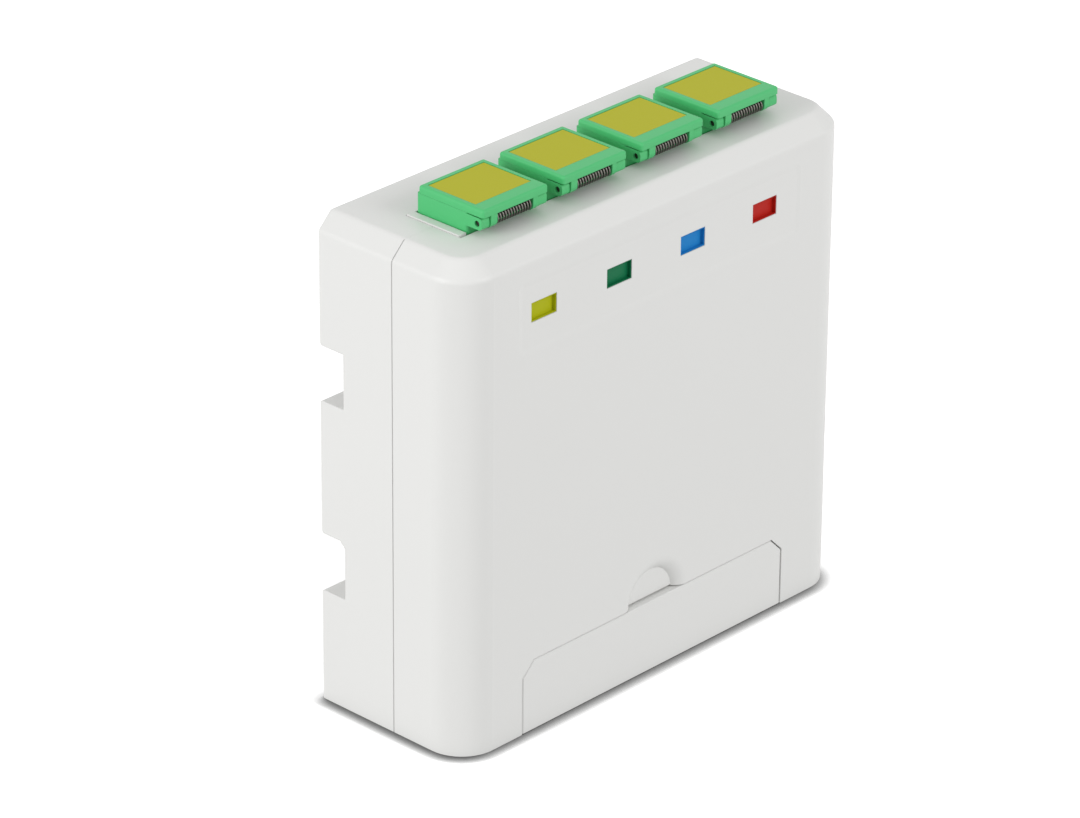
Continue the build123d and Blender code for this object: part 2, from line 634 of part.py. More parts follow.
def coil(length, turns, radius, wire):
    """A coil of plain wire along Z from the origin."""
    path = Helix(length / turns, length, radius)
    section = Plane(origin=path @ 0, z_dir=path % 0) * RegularPolygon(wire / 2, 6)
    return sweep(section, path, is_frenet=True)


def lid_spring(port):
    """The torsion spring round the pin, between the lid's knuckles."""
    start = KNUCKLE_LEFT + KNUCKLE_LEFT_W + COIL_GAP
    end = KNUCKLE_RIGHT - KNUCKLE_RIGHT_W - COIL_GAP
    wound = coil(end - start, COIL_TURNS, COIL_R, WIRE)
    return Pos(port_x(port) + start, AXIS_Y, AXIS_Z) * (Rot(0, 90, 0) * wound)


def rail_latch():
    """The sprung latch that hooks behind the rail's lower flange."""
    y0 = LATCH_FLOOR + FIT
    half = LATCH_W / 2
    plate = block(-half, half, y0, y0 + LATCH_T, LATCH_LOW, LATCH_TOP)
    lead = plate.edges().filter_by(Axis.X).sort_by(Axis.Z)[-2:].sort_by(Axis.Y)[-1]
    plate = chamfer(lead, LATCH_T / 2)
    runner = half + RUNNER_W
    plate += block(-runner, runner, y0, y0 + RUNNER_T, LATCH_LOW, RUNNER_TOP)
    hole_low = LATCH_LOW + PEG_H
    top = hole_low + LATCH_HOLE_H
    y1 = y0 + LATCH_T
    plate -= block(-LATCH_HOLE_W / 2, LATCH_HOLE_W / 2, y0, y1, hole_low - FIT, top)
    plate -= block(-TOOL_NOTCH_W / 2, TOOL_NOTCH_W / 2, y0, y1, LATCH_LOW, LATCH_LOW + TOOL_NOTCH_H)
    spring_y = (LATCH_FLOOR + BACK) / 2
    return plate + rod((0, spring_y, top), (0, 0, -1), LATCH_COIL_R / 2, PEG_H)


def latch_spring():
    """The compression spring between the housing's abutment and the latch."""
    low = LATCH_LOW + 2 * PEG_H + LATCH_WIRE / 2
    high = LATCH_LOW + PEG_H + LATCH_HOLE_H - LATCH_WIRE / 2
    wound = coil(high - low, LATCH_TURNS, LATCH_COIL_R, LATCH_WIRE)
    return Pos(0, (LATCH_FLOOR + BACK) / 2, low) * wound


def splice_tray():
    """The fibre tray: a plate walled to half its height, with two drums that keep the bends wide."""
    half = TRAY_HALF
    height = TRAY_HIGH - TRAY_LOW
    middle = (TRAY_LOW + TRAY_HIGH) / 2
    outline = Pos(0, middle) * RectangleRounded(2 * half, height, TRAY_CORNER_R)
    inner = Pos(0, middle) * RectangleRounded(2 * half - 2 * TRAY_WALL, height - 2 * TRAY_WALL,
                                              TRAY_CORNER_R - TRAY_WALL)
    wall_front = TRAY_FRONT - TRAY_DEPTH
    walls = from_front(outline - inner, wall_front - FRONT, TRAY_DEPTH)
    walls &= block(-half, half, wall_front, TRAY_FRONT, TRAY_LOW, TRAY_WALL_TOP)
    for x in (-CABLE_X, CABLE_X):
        walls -= block(x - ENTRY_W / 2, x + ENTRY_W / 2, wall_front, TRAY_FRONT,
                       TRAY_LOW, TRAY_LOW + TRAY_WALL)
    tray = from_front(outline, TRAY_FRONT - FRONT, TRAY_T) + walls
    for side in (-1, 1):
        for z in TAB_HEIGHTS:
            ends = sorted((side * (half - TRAY_WALL / 2), side * (half - TRAY_WALL - TAB_REACH)))
            tray += block(*ends, wall_front, wall_front + TAB_T, z - TAB_L / 2, z + TAB_L / 2)
    drums = int(DRUM_SPAN // DRUM_PITCH) + 1
    for i in range(drums):
        x = (i - (drums - 1) / 2) * DRUM_PITCH
        centre = (x, TRAY_FRONT, DRUM_Z)
        drum = rod(centre, (0, -1, 0), DRUM_R, DRUM_H)
        lip = Pos(x, DRUM_Z) * SlotOverall(2 * (DRUM_R + DRUM_LIP), DRUM_LIP_W)
        drum += from_front(lip, TRAY_FRONT - DRUM_H - FRONT, TAB_T)
        tray += drum - rod(centre, (0, -1, 0), DRUM_R - DRUM_WALL, DRUM_H)
    for x, z, face in screw_points()[0]:
        tray -= rod((x, TRAY_FRONT, z), (0, 1, 0), SCREW_R + FIT, TRAY_T)
    return tray


def splice_comb():
    """The soft comb that grips the splice protectors, each rib in two lengths."""
    low = TRAY_LOW + TRAY_WALL
    height = SPLICE_SLOTS * (SPLICE_W + RIB_W) + RIB_W
    half = COMB_HALF
    base = TRAY_FRONT - COMB_BASE_T
    comb = block(-half, half, base, TRAY_FRONT, low, low + height)
    for rib in range(SPLICE_SLOTS + 1):
        z = low + rib * (SPLICE_W + RIB_W)
        for side in (-1, 1):
            ends = sorted((side * COMB_GAP / 2, side * half))
            comb += block(*ends, base - COMB_RIB_H, base, z, z + RIB_W)
    return comb


def screw(x, z, face, length):
    """A pan-head screw with a cross slot, its head seated on a face that looks to the front."""
    head = rod((x, face, z), (0, -1, 0), SCREW_HEAD_R, SCREW_HEAD_H)
    head = fillet(head.edges().sort_by(Axis.Y)[0], SCREW_HEAD_H / 2)
    top = face - SCREW_HEAD_H
    cut = SCREW_HEAD_R * 0.6
    for half_x, half_z in ((cut, SCREW_SLOT / 2), (SCREW_SLOT / 2, cut)):
        head -= block(x - half_x, x + half_x, top, top + SCREW_HEAD_H / 2, z - half_z, z + half_z)
    return head + rod((x, face, z), (0, 1, 0), SCREW_R, length)


def tray_screws():
    """The two screws that hold the tray."""
    room = INNER_BACK - TRAY_FRONT - FIT
    points = screw_points()[0]
    return Compound(children=[screw(x, z, TRAY_FRONT, min(SCREW_L, room)) for x, z, face in points])


def clamp_screws():
    """The two screws that draw the clamp bar on to the cables."""
    front = CLAMP_FACE - CLAMP_T
    return Compound(children=[screw(x, z, front, SCREW_L) for x, z, face in screw_points()[1]])


def cable_clamp():
    """The clamp bar across both cables, drawn in at its ends."""
    bar = block(-CLAMP_HALF, CLAMP_HALF, CLAMP_FACE - CLAMP_T, CLAMP_FACE,
                CLAMP_Z - CLAMP_H / 2, CLAMP_Z + CLAMP_H / 2)
    bar = fillet(bar.edges().filter_by(Axis.Y), CLAMP_H / 3)
    for x, z, face in screw_points()[1]:
        bar -= rod((x, FRONT, z), (0, 1, 0), SCREW_R + FIT, CASE_D)
    return bar


def cable_entry_plate():
    """The plate between both shells at the base: its lip lies on their inner faces, its holes take the grommets."""
    low = WALL + RUN
    outline = Rectangle(2 * PLATE_HALF, PLATE_D)
    lip = offset(outline, PLATE_LIP, kind=Kind.INTERSECTION) - offset(outline, -PLATE_LIP, kind=Kind.INTERSECTION)
    plate = extrude(outline, low) + Pos(0, 0, low) * extrude(lip, PLATE_LIP_T)
    plate = Pos(0, SEAM) * plate
    for x in (-CABLE_X, CABLE_X):
        plate -= rod((x, SEAM, 0), (0, 0, 1), GROMMET_NECK_R + FIT, WALL + RUN)
        plate -= rod((x, SEAM, 0), (0, 0, 1), GROMMET_FLANGE_R + FIT, GROMMET_FLANGE_T + FIT)
    return plate


def cable_grommet(x):
    """A rubber grommet in the entry plate, with the cable's bore through it."""
    up = (0, 0, 1)
    ring = rod((x, SEAM, 0), up, GROMMET_NECK_R, GROMMET_TOP)
    ring += rod((x, SEAM, RUN), up, GROMMET_FLANGE_R, GROMMET_FLANGE_T)
    ring += rod((x, SEAM, WALL + RUN), up, GROMMET_FLANGE_R, GROMMET_TOP - WALL - RUN)
    return ring - rod((x, SEAM, 0), up, CABLE_R, GROMMET_TOP)


nodes = {
    "back_shell": back_shell(),
    "adapter_comb": adapter_comb(),
    "front_cover": front_cover(),
    "cable_door": cable_door(),
    "rail_latch": rail_latch(),
    "latch_spring": latch_spring(),
    "splice_tray": splice_tray(),
    "splice_comb": splice_comb(),
    "tray_screws": tray_screws(),
    "cable_clamp": cable_clamp(),
    "clamp_screws": clamp_screws(),
    "cable_entry_plate": cable_entry_plate(),
    "cable_grommet_left": cable_grommet(-CABLE_X),
    "cable_grommet_right": cable_grommet(CABLE_X),
}
for index in range(PORTS):
    number = index + 1
    nodes[f"port_tab_{number}"] = port_tab(index)
    nodes[f"adapter_body_{number}"] = adapter_body(index)
    nodes[f"outer_port_latch_{number}"] = port_latch(index, WEB_TOP, True)
    nodes[f"inner_port_latch_{number}"] = port_latch(index, WEB_LOW, False)
    nodes[f"sleeve_{number}"] = sleeve(index)
    nodes[f"lid_{number}"] = lid(index)
    nodes[f"lid_label_{number}"] = lid_label(index)
    nodes[f"lid_pin_{number}"] = lid_pin(index)
    nodes[f"lid_spring_{number}"] = lid_spring(index)

os.makedirs("parts", exist_ok=True)
for name, solid in nodes.items():
    export_step(solid, f"parts/{name}.step")
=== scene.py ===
# %% [markdown]
# # A fibre box for a mounting rail
# The part is a slim white plastic box that clips to a 35 mm steel rail. Four green optical
# adapters stand in its top, each under a small sprung lid. The solid model gives every moulded
# piece its true shape and place, so this scene keeps those pieces and gives them their finishes.
# It models afresh only what is finer than the solids: the round wire of the four lid springs with
# their legs, and the coil that pushes the rail latch up.

import json
import math

import bpy
from mathutils import Matrix, Vector

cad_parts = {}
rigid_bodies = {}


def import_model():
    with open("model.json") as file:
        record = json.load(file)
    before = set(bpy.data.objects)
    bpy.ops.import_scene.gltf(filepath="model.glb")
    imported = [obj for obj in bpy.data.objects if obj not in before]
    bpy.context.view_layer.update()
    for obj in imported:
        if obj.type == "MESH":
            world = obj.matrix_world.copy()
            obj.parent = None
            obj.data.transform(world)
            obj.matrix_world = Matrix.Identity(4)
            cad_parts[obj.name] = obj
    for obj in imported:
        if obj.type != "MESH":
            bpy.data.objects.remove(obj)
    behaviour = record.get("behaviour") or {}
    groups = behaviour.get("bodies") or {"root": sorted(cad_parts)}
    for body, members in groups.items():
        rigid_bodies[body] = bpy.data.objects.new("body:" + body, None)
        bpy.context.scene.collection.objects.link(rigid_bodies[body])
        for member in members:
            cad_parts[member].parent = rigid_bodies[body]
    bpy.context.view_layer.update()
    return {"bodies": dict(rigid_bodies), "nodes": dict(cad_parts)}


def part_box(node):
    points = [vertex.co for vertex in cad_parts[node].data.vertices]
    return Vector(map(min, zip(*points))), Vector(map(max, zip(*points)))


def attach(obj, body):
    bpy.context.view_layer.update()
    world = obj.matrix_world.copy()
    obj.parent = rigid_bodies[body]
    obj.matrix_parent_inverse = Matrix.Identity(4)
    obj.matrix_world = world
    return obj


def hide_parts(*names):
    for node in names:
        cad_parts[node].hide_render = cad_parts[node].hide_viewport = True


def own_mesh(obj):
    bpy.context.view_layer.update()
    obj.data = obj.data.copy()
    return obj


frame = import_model()
nodes = frame["nodes"]
MM = 0.001
PORTS = sorted(int(name.split("_")[1]) for name in frame["bodies"] if name.startswith("lid_"))
print("solids:", len(nodes), "ports:", PORTS)

# %% [markdown]
# ## The camera
# The photograph looks down on the box from its front left with a long lens, so upright edges stay
# almost parallel. The lens and the place come from measured corners of the box: a lens of 192 mm
# at 80 cm. A camera's matrix holds its right, up and backward directions as columns, which sets
# all three angles at once and needs no target to track.

# %% Camera
AZIMUTH = math.radians(46.55)
ELEVATION = math.radians(26.476)
ROLL = math.radians(0.4387)
EYE = Vector((-514.0, -478.1, 384.5)) * MM
LENS = 191.62  # Blender keeps a camera's own sizes in millimetres
SENSOR = 36.0

across = Vector((math.cos(AZIMUTH), -math.sin(AZIMUTH), 0))
backward = Vector((-math.sin(AZIMUTH) * math.cos(ELEVATION),
                   -math.cos(AZIMUTH) * math.cos(ELEVATION), math.sin(ELEVATION)))
upward = backward.cross(across)
right = math.cos(ROLL) * across + math.sin(ROLL) * upward
up = math.cos(ROLL) * upward - math.sin(ROLL) * across

camera = bpy.data.objects.new("camera", bpy.data.cameras.new("camera"))
bpy.context.scene.collection.objects.link(camera)
camera.data.sensor_width = SENSOR
camera.data.lens = LENS
directions = Matrix((right, up, backward)).transposed().to_4x4()
camera.matrix_world = Matrix.Translation(EYE) @ directions
bpy.context.scene.camera = camera
bpy.context.scene.view_settings.view_transform = "Standard"
print("camera distance:", round(EYE.length, 3), "m")

# %% [markdown]
# ## Colour and nodes
# Hex colours are written as the eye sees them, in sRGB, but a shader works with linear light. One
# function converts them. Another adds a shader node with its settings and its inputs, so that each
# material below reads as a list of what it is made of.

# %% Helpers for materials
def linear(hex_colour):
    """An sRGB hex colour as a linear RGBA colour."""
    parts = [int(hex_colour[i:i + 2], 16) / 255 for i in (1, 3, 5)]
    return (*[c / 12.92 if c <= 0.04045 else ((c + 0.055) / 1.055) ** 2.4 for c in parts], 1.0)


def add(tree, kind, inputs=None, **settings):
    """Adds a node with its settings; each input is a value or another node's output."""
    node = tree.nodes.new(kind)
    for name, value in settings.items():
        setattr(node, name, value)
    for name, value in (inputs or {}).items():
        if isinstance(value, bpy.types.NodeSocket):
            tree.links.new(value, node.inputs[name])
        else:
            node.inputs[name].default_value = value
    return node


def start_material(name):
    """A new material, with its tree, its shader and the object's own coordinates."""
    material = bpy.data.materials.new(name)
    material.use_nodes = True
    tree = material.node_tree
    place = add(tree, "ShaderNodeTexCoord").outputs["Object"]
    return material, tree, tree.nodes["Principled BSDF"], place


def give(material, *names):
    """Puts a material on CAD nodes."""
    for name in names:
        for entry in nodes[name].material_slots:
            entry.material = material


print("mid grey #808080 in linear light:", round(linear("#808080")[0], 3))

# %% [markdown]
# ## Moulded plastic
# Nearly every piece is injection moulded. They differ only in colour, gloss and grain, so one
# recipe serves them all: a bump for the mould's grain, a slow drift in the gloss and a trace of it
# in the colour where the melt flowed, and a small edge radius, because no moulded edge is truly
# sharp. The radius is drawn by the shader, since the pieces of the solid model keep their shape.

# %% The recipe for moulded plastic
FLOW = 18 * MM      # from one mark of the melt's flow to the next
FLOW_GLOSS = 0.04   # how far those marks change the roughness
EDGE_SAMPLES = 6


def moulded(name, colour, roughness, ior, grain, relief, edge=0.12 * MM, drift=0.02, shine=0.5):
    """Moulded plastic with a mould grain of the given size and depth."""
    material, tree, shader, place = start_material(name)
    pits = add(tree, "ShaderNodeTexNoise", {"Vector": place, "Scale": 1 / grain, "Detail": 2.0})
    flow = add(tree, "ShaderNodeTexNoise", {"Vector": place, "Scale": 1 / FLOW, "Detail": 3.0})
    rounded = add(tree, "ShaderNodeBevel", {"Radius": edge}, samples=EDGE_SAMPLES)
    bump = add(tree, "ShaderNodeBump", {"Height": pits.outputs["Fac"], "Distance": relief,
                                        "Strength": 1.0, "Normal": rounded.outputs["Normal"]})
    gloss = add(tree, "ShaderNodeMapRange", {"Value": flow.outputs["Fac"],
                                             "To Min": roughness - FLOW_GLOSS,
                                             "To Max": roughness + FLOW_GLOSS})
    full = linear(colour)
    faded = (*[channel * (1 - drift) for channel in full[:3]], 1.0)
    tint = add(tree, "ShaderNodeMix", {"Factor": flow.outputs["Fac"], "A": faded, "B": full},
               data_type="RGBA")
    tree.links.new(tint.outputs["Result"], shader.inputs["Base Color"])
    tree.links.new(gloss.outputs["Result"], shader.inputs["Roughness"])
    tree.links.new(bump.outputs["Normal"], shader.inputs["Normal"])
    shader.inputs["IOR"].default_value = ior
    shader.inputs["Specular IOR Level"].default_value = shine
    return material


print("the melt's flow marks lie", round(FLOW / MM), "mm apart")

# %% [markdown]
# ## The case: ABS
# The case is white ABS, the usual plastic for such boxes. Its mould was spark-eroded, which leaves
# an even grain that spreads the highlights, so the walls look matt and silky. The real grain is
# about 0.1 mm across, too fine to show, so it is drawn at 0.25 mm and a few microns deep. The tray
# and the clamp inside come from a polished mould and shine a little more.

# %% Case, tray and latch
ABS_IOR = 1.54
case_abs = moulded("white ABS, spark-eroded grain", "#E2E2E0", roughness=0.46, ior=ABS_IOR,
                   grain=0.25 * MM, relief=0.004 * MM)
give(case_abs, "back_shell", "front_cover", "cable_door", "adapter_comb", "cable_entry_plate",
     "rail_latch")
inner_abs = moulded("white ABS, smooth mould", "#E6E6E3", roughness=0.36, ior=ABS_IOR,
                    grain=0.6 * MM, relief=0.002 * MM)
give(inner_abs, "splice_tray", "cable_clamp")
print("case finishes:", case_abs.name, "|", inner_abs.name)

# %% [markdown]
# ## Adapters and lids: PBT
# Optical adapters are moulded from PBT, which holds its size. It takes a deep even green, and the
# mould is smoother than the case's. The soft sheen of that surface is weaker than a polished one
# would give, so its mirrored light is turned down a little. The latches inside keep the plastic's
# natural ivory.

# %% Adapters, lids and port latches
PBT_IOR = 1.57
PBT_EDGE = 0.08 * MM
adapter_pbt = moulded("green PBT, smooth mould", "#4CBE74", roughness=0.42, ior=PBT_IOR,
                      grain=0.3 * MM, relief=0.002 * MM, edge=PBT_EDGE, drift=0.04, shine=0.35)
latch_pbt = moulded("natural PBT, smooth mould", "#E4E2D8", roughness=0.36, ior=PBT_IOR,
                    grain=0.5 * MM, relief=0.002 * MM, edge=PBT_EDGE)
for port in PORTS:
    give(adapter_pbt, f"adapter_body_{port}", f"lid_{port}")
    give(latch_pbt, f"outer_port_latch_{port}", f"inner_port_latch_{port}")
print("adapters and lids:", adapter_pbt.name, "on", 2 * len(PORTS), "pieces")

# %% [markdown]
# ## Port tabs: coloured polycarbonate
# A tab behind each window tells the ports apart by colour. The tabs are moulded against a blasted
# face, so they hardly mirror the white walls round them, and their colours stay deep. Each gets
# its own material from the same recipe, with the mirrored light turned well down.

# %% Port tabs
POLYCARBONATE_IOR = 1.585
TABS = {1: ("yellow", "#B2B608"), 2: ("green", "#036D44"), 3: ("blue", "#1A80C6"),
        4: ("red", "#B61C10")}
for port in PORTS:
    colour_name, colour = TABS[port]
    tab = moulded(f"matt {colour_name} polycarbonate", colour, roughness=0.5,
                  ior=POLYCARBONATE_IOR, grain=0.3 * MM, relief=0.002 * MM, shine=0.15)
    give(tab, f"port_tab_{port}")
print("port tabs:", [colour_name for colour_name, colour in TABS.values()])

# %% [markdown]
# ## Labels
# A label is printed polyester film: a dull yellow ink under a thin clear coat. The film's surface
# has a slight orange-peel ripple, which breaks up a reflection without hiding it, and the ink has
# a fine fleck. The label is a piece of the solid model, so only its material is made here.

# %% Label film
FILM_IOR = 1.57
INK_FLECK = 0.12 * MM
FILM_RIPPLE = 0.9 * MM
RIPPLE_DEPTH = 0.003 * MM
label_film, tree, shader, place = start_material("yellow printed polyester film")
fleck = add(tree, "ShaderNodeTexNoise", {"Vector": place, "Scale": 1 / INK_FLECK, "Detail": 4.0})
ink = add(tree, "ShaderNodeMix", {"Factor": fleck.outputs["Fac"], "A": linear("#AEAD0C"),
                                  "B": linear("#B8B716")}, data_type="RGBA")
ripple = add(tree, "ShaderNodeTexNoise", {"Vector": place, "Scale": 1 / FILM_RIPPLE, "Detail": 1.0})
peel = add(tree, "ShaderNodeBump", {"Height": ripple.outputs["Fac"], "Distance": RIPPLE_DEPTH,
                                    "Strength": 1.0})
tree.links.new(ink.outputs["Result"], shader.inputs["Base Color"])
tree.links.new(peel.outputs["Normal"], shader.inputs["Normal"])
shader.inputs["Roughness"].default_value = 0.55
shader.inputs["IOR"].default_value = FILM_IOR
shader.inputs["Specular IOR Level"].default_value = 0.25
give(label_film, *[f"lid_label_{port}" for port in PORTS])
print("labels:", len(PORTS), "of", label_film.name)

# %% [markdown]
# ## Metal
# Spring wire is drawn through a die, which leaves it grey with a soft lustre and a faint grain.
# The pins are dark grey: painted shade that stands for the shadow in the hinge holes and between
# the turns of the springs. The screws are zinc plated: brighter, a little cloudy, with a faint
# yellow cast. All three are steel with a worked surface, so one recipe makes them, and the marks
# change the gloss as well as the relief.

# %% Wire, pins and screws
MARK_GLOSS = 0.08   # how far the marks of the work change the roughness


def steel(name, colour, roughness, marks_size, relief):
    """Steel with a fine worked surface of the given size."""
    material, tree, shader, place = start_material(name)
    marks = add(tree, "ShaderNodeTexNoise", {"Vector": place, "Scale": 1 / marks_size,
                                             "Detail": 3.0})
    bump = add(tree, "ShaderNodeBump", {"Height": marks.outputs["Fac"], "Distance": relief,
                                        "Strength": 1.0})
    gloss = add(tree, "ShaderNodeMapRange", {"Value": marks.outputs["Fac"],
                                             "To Min": roughness - MARK_GLOSS,
                                             "To Max": roughness + MARK_GLOSS})
    tree.links.new(gloss.outputs["Result"], shader.inputs["Roughness"])
    tree.links.new(bump.outputs["Normal"], shader.inputs["Normal"])
    shader.inputs["Base Color"].default_value = linear(colour)
    shader.inputs["Metallic"].default_value = 1.0
    return material


spring_wire = steel("drawn spring wire", "#74726C", roughness=0.32, marks_size=0.15 * MM,
                    relief=0.002 * MM)
# The pins' dark colour is painted shade: it stands for the shadow in the hinge holes.
pin_steel_painted_shade = steel("steel pin, dark as painted shade", "#4A4B45", roughness=0.34, marks_size=0.1 * MM,
                  relief=0.001 * MM)
zinc_plate = steel("zinc-plated steel", "#C9C8BF", roughness=0.32, marks_size=0.6 * MM,
                   relief=0.002 * MM)
give(pin_steel_painted_shade, *[f"lid_pin_{port}" for port in PORTS])
give(zinc_plate, "tray_screws", "clamp_screws")
give(spring_wire, "latch_spring", *[f"lid_spring_{port}" for port in PORTS])
print("metals:", [metal.name for metal in (spring_wire, pin_steel_painted_shade, zinc_plate)])

# %% [markdown]
# ## Rubber and ceramic
# The cable grommets are black EPDM rubber and the splice comb is a softer grey thermoplastic
# rubber. Both come from a mould too, so the plastic recipe makes them, rougher and with a coarser
# relief. The sleeves that line up the fibres are ground zirconia: almost white, hard and very
# smooth.

# %% Grommets, comb and sleeves
grommet_rubber = moulded("black EPDM rubber", "#1B1B1B", roughness=0.62, ior=1.52,
                         grain=0.2 * MM, relief=0.006 * MM)
comb_rubber = moulded("dark grey thermoplastic rubber", "#2E2F31", roughness=0.55, ior=1.5,
                      grain=0.25 * MM, relief=0.005 * MM)
zirconia = moulded("ground zirconia", "#F2EFE6", roughness=0.12, ior=2.15, grain=0.08 * MM,
                   relief=0.001 * MM, edge=0.05 * MM, drift=0.01)
give(grommet_rubber, "cable_grommet_left", "cable_grommet_right")
give(comb_rubber, "splice_comb")
give(zirconia, *[f"sleeve_{port}" for port in PORTS])
print("inside:", [stuff.name for stuff in (grommet_rubber, comb_rubber, zirconia)])

# %% [markdown]
# ## The lid springs
# Each lid is closed by a torsion spring of 0.24 mm wire, wound round the hinge pin between the
# lid's two knuckles. One leg presses on the adapter and the other on the underside of the lid. The
# wire is a curve with a round section, which follows a list of points, so the coil and its legs
# are one calculation. The leg under the lid is a piece of its own, so that it goes with the lid.

# %% Wire through points
WIRE = 0.24 * MM
STEPS = 20          # points in each turn of a coil


def wire(name, points, body, stands_for=None, thickness=WIRE):
    """A round wire through points, as a mesh that rides on a body."""
    curve = bpy.data.curves.new(name, "CURVE")
    curve.dimensions = "3D"
    curve.bevel_depth = thickness / 2
    curve.bevel_resolution = 3
    curve.use_fill_caps = True
    line = curve.splines.new("POLY")
    line.points.add(len(points) - 1)
    for target, point in zip(line.points, points):
        target.co = (*point, 1.0)
    drawn = bpy.data.objects.new(name, curve)
    bpy.context.scene.collection.objects.link(drawn)
    depsgraph = bpy.context.evaluated_depsgraph_get()
    mesh = bpy.data.meshes.new_from_object(drawn.evaluated_get(depsgraph))
    bpy.data.objects.remove(drawn)
    piece = bpy.data.objects.new(name, mesh)
    bpy.context.scene.collection.objects.link(piece)
    for face in mesh.polygons:
        face.use_smooth = True
    mesh.materials.clear()
    mesh.materials.append(spring_wire)
    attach(piece, body)
    if stands_for:
        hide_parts(stands_for)
    return piece


print("wire:", round(WIRE / MM, 2), "mm thick,", STEPS, "points a turn")

# %% Lid springs
TURNS = 12.5
COIL_GROWTH = 0.04 * MM     # the wound coil's radius, past the plain solid's
FIXED_REACH = 1.8 * MM      # from the pin's axis back to the adapter's wall
LID_UNDER = 1.02 * MM       # from the pin's axis up to the underside of the lid
LEG_BEND = 0.8 * MM         # where the loose leg starts down from the coil's top
LEG_REACH = 1.6 * MM        # where it ends


def spring(port):
    """The coil with its fixed leg, and the loose leg under the lid."""
    low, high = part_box(f"lid_spring_{port}")
    axis_y, axis_z = (low.y + high.y) / 2, (low.z + high.z) / 2
    radius = (high.z - low.z) / 2 - WIRE / 2 + COIL_GROWTH
    start, end = low.x + WIRE / 2, high.x - WIRE / 2
    count = int(TURNS * STEPS)
    coil = []
    for step in range(count + 1):
        angle = 2 * math.pi * TURNS * step / count + math.pi / 2
        coil.append((start + (end - start) * step / count, axis_y + radius * math.cos(angle),
                     axis_z + radius * math.sin(angle)))
    wall = axis_y + FIXED_REACH - WIRE / 2
    fixed = [(end, (axis_y + wall) / 2, axis_z - radius), (end, wall, axis_z - radius)]
    wire(f"spring_coil_{port}", coil + fixed, "case", f"lid_spring_{port}")
    lid_under = axis_z + LID_UNDER - WIRE / 2
    loose = [(start, axis_y, axis_z + radius), (start, axis_y + LEG_BEND, axis_z + radius),
             (start, axis_y + LEG_REACH, lid_under)]
    wire(f"spring_leg_{port}", loose, f"lid_{port}")


for port in PORTS:
    spring(port)
print("springs:", len(PORTS), "of", TURNS, "turns")

# %% [markdown]
# ## The latch spring
# Behind the rail's lower edge a compression spring pushes the latch up. Its end turns are closed,
# so that it sits flat on the housing and under the latch. The coil is rigid and rides on the case,
# so it would run into the latch as it slides down.

# %% Compression spring
LATCH_WIRE = 0.36 * MM
OPEN_TURNS = 5.5
END_TURNS = 1       # closed turns at each end


def latch_spring():
    """The wound spring between the housing's abutment and the latch."""
    low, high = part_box("latch_spring")
    centre = (low + high) / 2
    radius = (high.x - low.x) / 2 - LATCH_WIRE / 2
    rise = high.z - low.z - LATCH_WIRE
    pitch = (rise - 2 * END_TURNS * LATCH_WIRE) / OPEN_TURNS
    coil = []
    for step in range(round((OPEN_TURNS + 2 * END_TURNS) * STEPS) + 1):
        turn = step / STEPS
        opened = min(max(turn - END_TURNS, 0), OPEN_TURNS)
        height = low.z + LATCH_WIRE / 2 + opened * pitch + (turn - opened) * LATCH_WIRE
        angle = 2 * math.pi * turn
        coil.append((centre.x + radius * math.cos(angle), centre.y + radius * math.sin(angle),
                     height))
    piece = wire("latch_coil", coil, "case", "latch_spring", LATCH_WIRE)
    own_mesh(piece)
    print("latch spring:", round((high.z - low.z) / MM, 2), "mm long, pitch",
          round(pitch / MM, 2), "mm")


latch_spring()

# %% [markdown]
# ## Floor
# The box stands on a white table that runs out of the picture. Its own colour makes it white to
# the camera, in mirrored light and through glass, down to a dark line of contact under the base,
# which is a painted shadow in that colour. Other light passes through it, so the even sky below
# does the work of a pale table and also shows the base. The painted shadow comes from ambient
# occlusion: how much of the space near a point is blocked. It leans to the back right, so that it
# draws the shadow along the box's front and left edges.

# %% Floor
FLOOR_SPAN = 6.0                    # metres from the middle to each edge
FLOOR_DROP = 0.02 * MM              # keeps the floor off the face of the base
PAINTED_SHADOW_REACH = 2.2 * MM            # how far out the dark line fades
PAINTED_SHADOW_LEAN = (0.68, 0.52, 0.52)
PAINTED_SHADOW_SAMPLES = 16
PAINTED_SHADOW_POWER = 2.4                 # more makes the line darker and wider
PAPER_WHITE = 1.45                  # bright enough to be white wherever nothing is near


def looked_at(tree):
    """1 for rays that show the background: straight ones, mirrored ones and ones through glass."""
    ray = add(tree, "ShaderNodeLightPath").outputs
    straight = add(tree, "ShaderNodeMath", {0: ray["Is Camera Ray"], 1: ray["Is Transmission Ray"]},
                   operation="MAXIMUM")
    seen = add(tree, "ShaderNodeMath", {0: straight.outputs["Value"], 1: ray["Is Glossy Ray"]},
               operation="MAXIMUM")
    return seen.outputs["Value"]


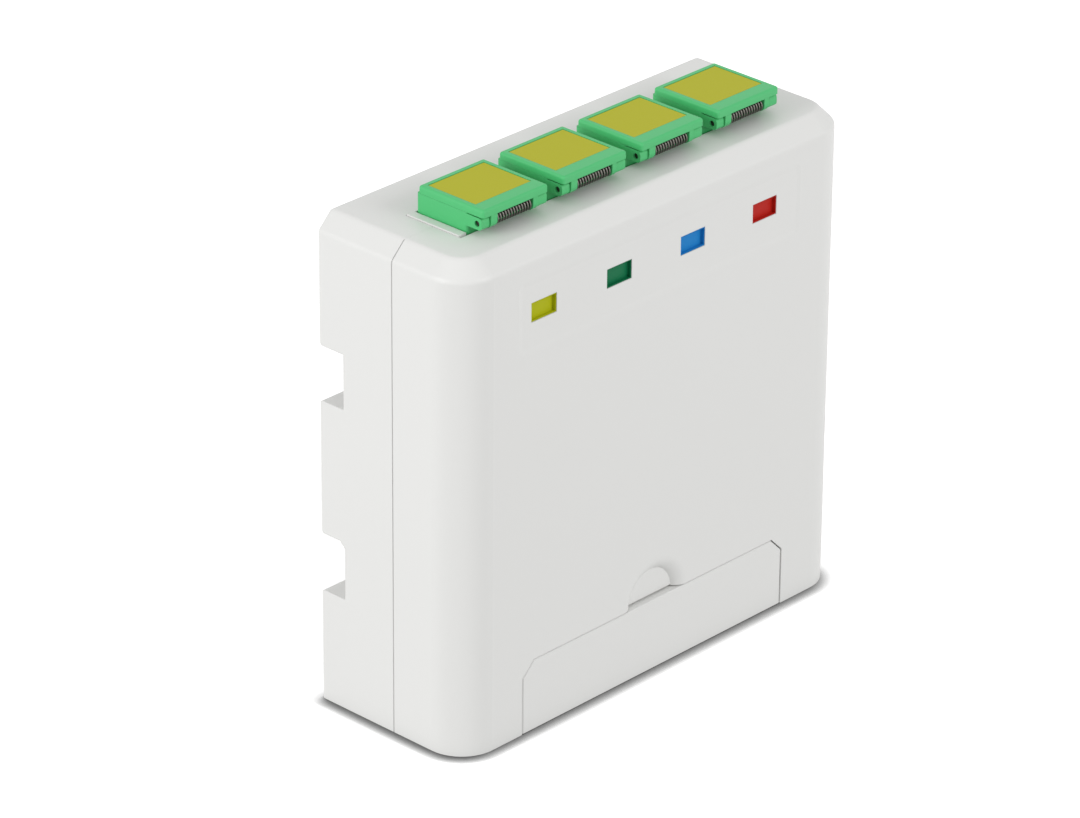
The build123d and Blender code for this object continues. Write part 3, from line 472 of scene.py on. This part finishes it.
def paper_floor():
    """White paper with a painted contact shadow; it lets the sky below light the base."""
    material = bpy.data.materials.new("white paper table")
    material.use_nodes = True
    tree = material.node_tree
    tree.nodes.clear()
    lean = add(tree, "ShaderNodeCombineXYZ", dict(zip("XYZ", PAINTED_SHADOW_LEAN)))
    # Ambient occlusion darkens the paper's colour near the base: a painted contact shadow.
    near = add(tree, "ShaderNodeAmbientOcclusion", {"Distance": PAINTED_SHADOW_REACH,
                                                    "Normal": lean.outputs["Vector"]},
               samples=PAINTED_SHADOW_SAMPLES)
    dark = add(tree, "ShaderNodeMath", {0: near.outputs["AO"], 1: PAINTED_SHADOW_POWER}, operation="POWER")
    white = add(tree, "ShaderNodeMapRange", {"Value": dark.outputs["Value"], "To Min": 0.0,
                                             "To Max": PAPER_WHITE})
    paper = add(tree, "ShaderNodeBsdfDiffuse", {"Color": white.outputs["Result"]})
    clear = add(tree, "ShaderNodeBsdfTransparent")
    side = add(tree, "ShaderNodeNewGeometry")
    shown = add(tree, "ShaderNodeMath", {0: looked_at(tree), 1: side.outputs["Backfacing"]},
                operation="GREATER_THAN")
    mixed = add(tree, "ShaderNodeMixShader", {0: shown.outputs["Value"], 1: clear.outputs["BSDF"],
                                              2: paper.outputs["BSDF"]})
    add(tree, "ShaderNodeOutputMaterial", {"Surface": mixed.outputs["Shader"]})
    return material


floor_mesh = bpy.data.meshes.new("floor")
corners = [(-FLOOR_SPAN, -FLOOR_SPAN, 0), (FLOOR_SPAN, -FLOOR_SPAN, 0),
           (FLOOR_SPAN, FLOOR_SPAN, 0), (-FLOOR_SPAN, FLOOR_SPAN, 0)]
floor_mesh.from_pydata(corners, [], [(0, 1, 2, 3)])
floor = bpy.data.objects.new("floor", floor_mesh)
floor.location.z = -FLOOR_DROP
bpy.context.scene.collection.objects.link(floor)
floor_mesh.materials.append(paper_floor())
print("floor:", 2 * FLOOR_SPAN, "m wide,", round(FLOOR_DROP / MM, 2), "mm under the base")

# %% [markdown]
# ## Light
# An even sky gives most of the light, as a white tent does. It is white to the camera and gives
# less light than that, so that white plastic stays below white. A large soft lamp at the left
# makes that side the brightest, and a second one at the front lifts the face and the bevel over
# the top. Both stand low, which keeps the top the darkest of the three faces.

# %% Sky and lamps
SKY_LIGHT = 0.622
SKY_SEEN = 1.0
world = bpy.data.worlds.new("even sky")
world.use_nodes = True
bpy.context.scene.world = world
tree = world.node_tree
sky = tree.nodes["Background"]
level = add(tree, "ShaderNodeMapRange", {"Value": looked_at(tree), "To Min": SKY_LIGHT,
                                         "To Max": SKY_SEEN})
tree.links.new(level.outputs["Result"], sky.inputs["Strength"])
sky.inputs["Color"].default_value = (1, 1, 1, 1)

LAMPS = {"soft lamp, left": ((-0.9, 0.2, 0.36), 4.55),
         "soft lamp, front": ((0.3, -0.9, 0.50), 3.23)}
LAMP_SIZE = 0.5
LAMP_DISTANCE = 1.0
BOX_MIDDLE = Vector((0, 0, 36 * MM))
for name, (aim, watts) in LAMPS.items():
    aim = Vector(aim).normalized()
    lamp = bpy.data.objects.new(name, bpy.data.lights.new(name, "AREA"))
    bpy.context.scene.collection.objects.link(lamp)
    lamp.data.shape = "DISK"
    lamp.data.size = LAMP_SIZE
    lamp.data.energy = watts
    lamp.location = aim * LAMP_DISTANCE + BOX_MIDDLE
    lamp.rotation_mode = "QUATERNION"
    lamp.rotation_quaternion = aim.to_track_quat("Z", "Y")
    print(name, "at", [round(v, 2) for v in lamp.location])
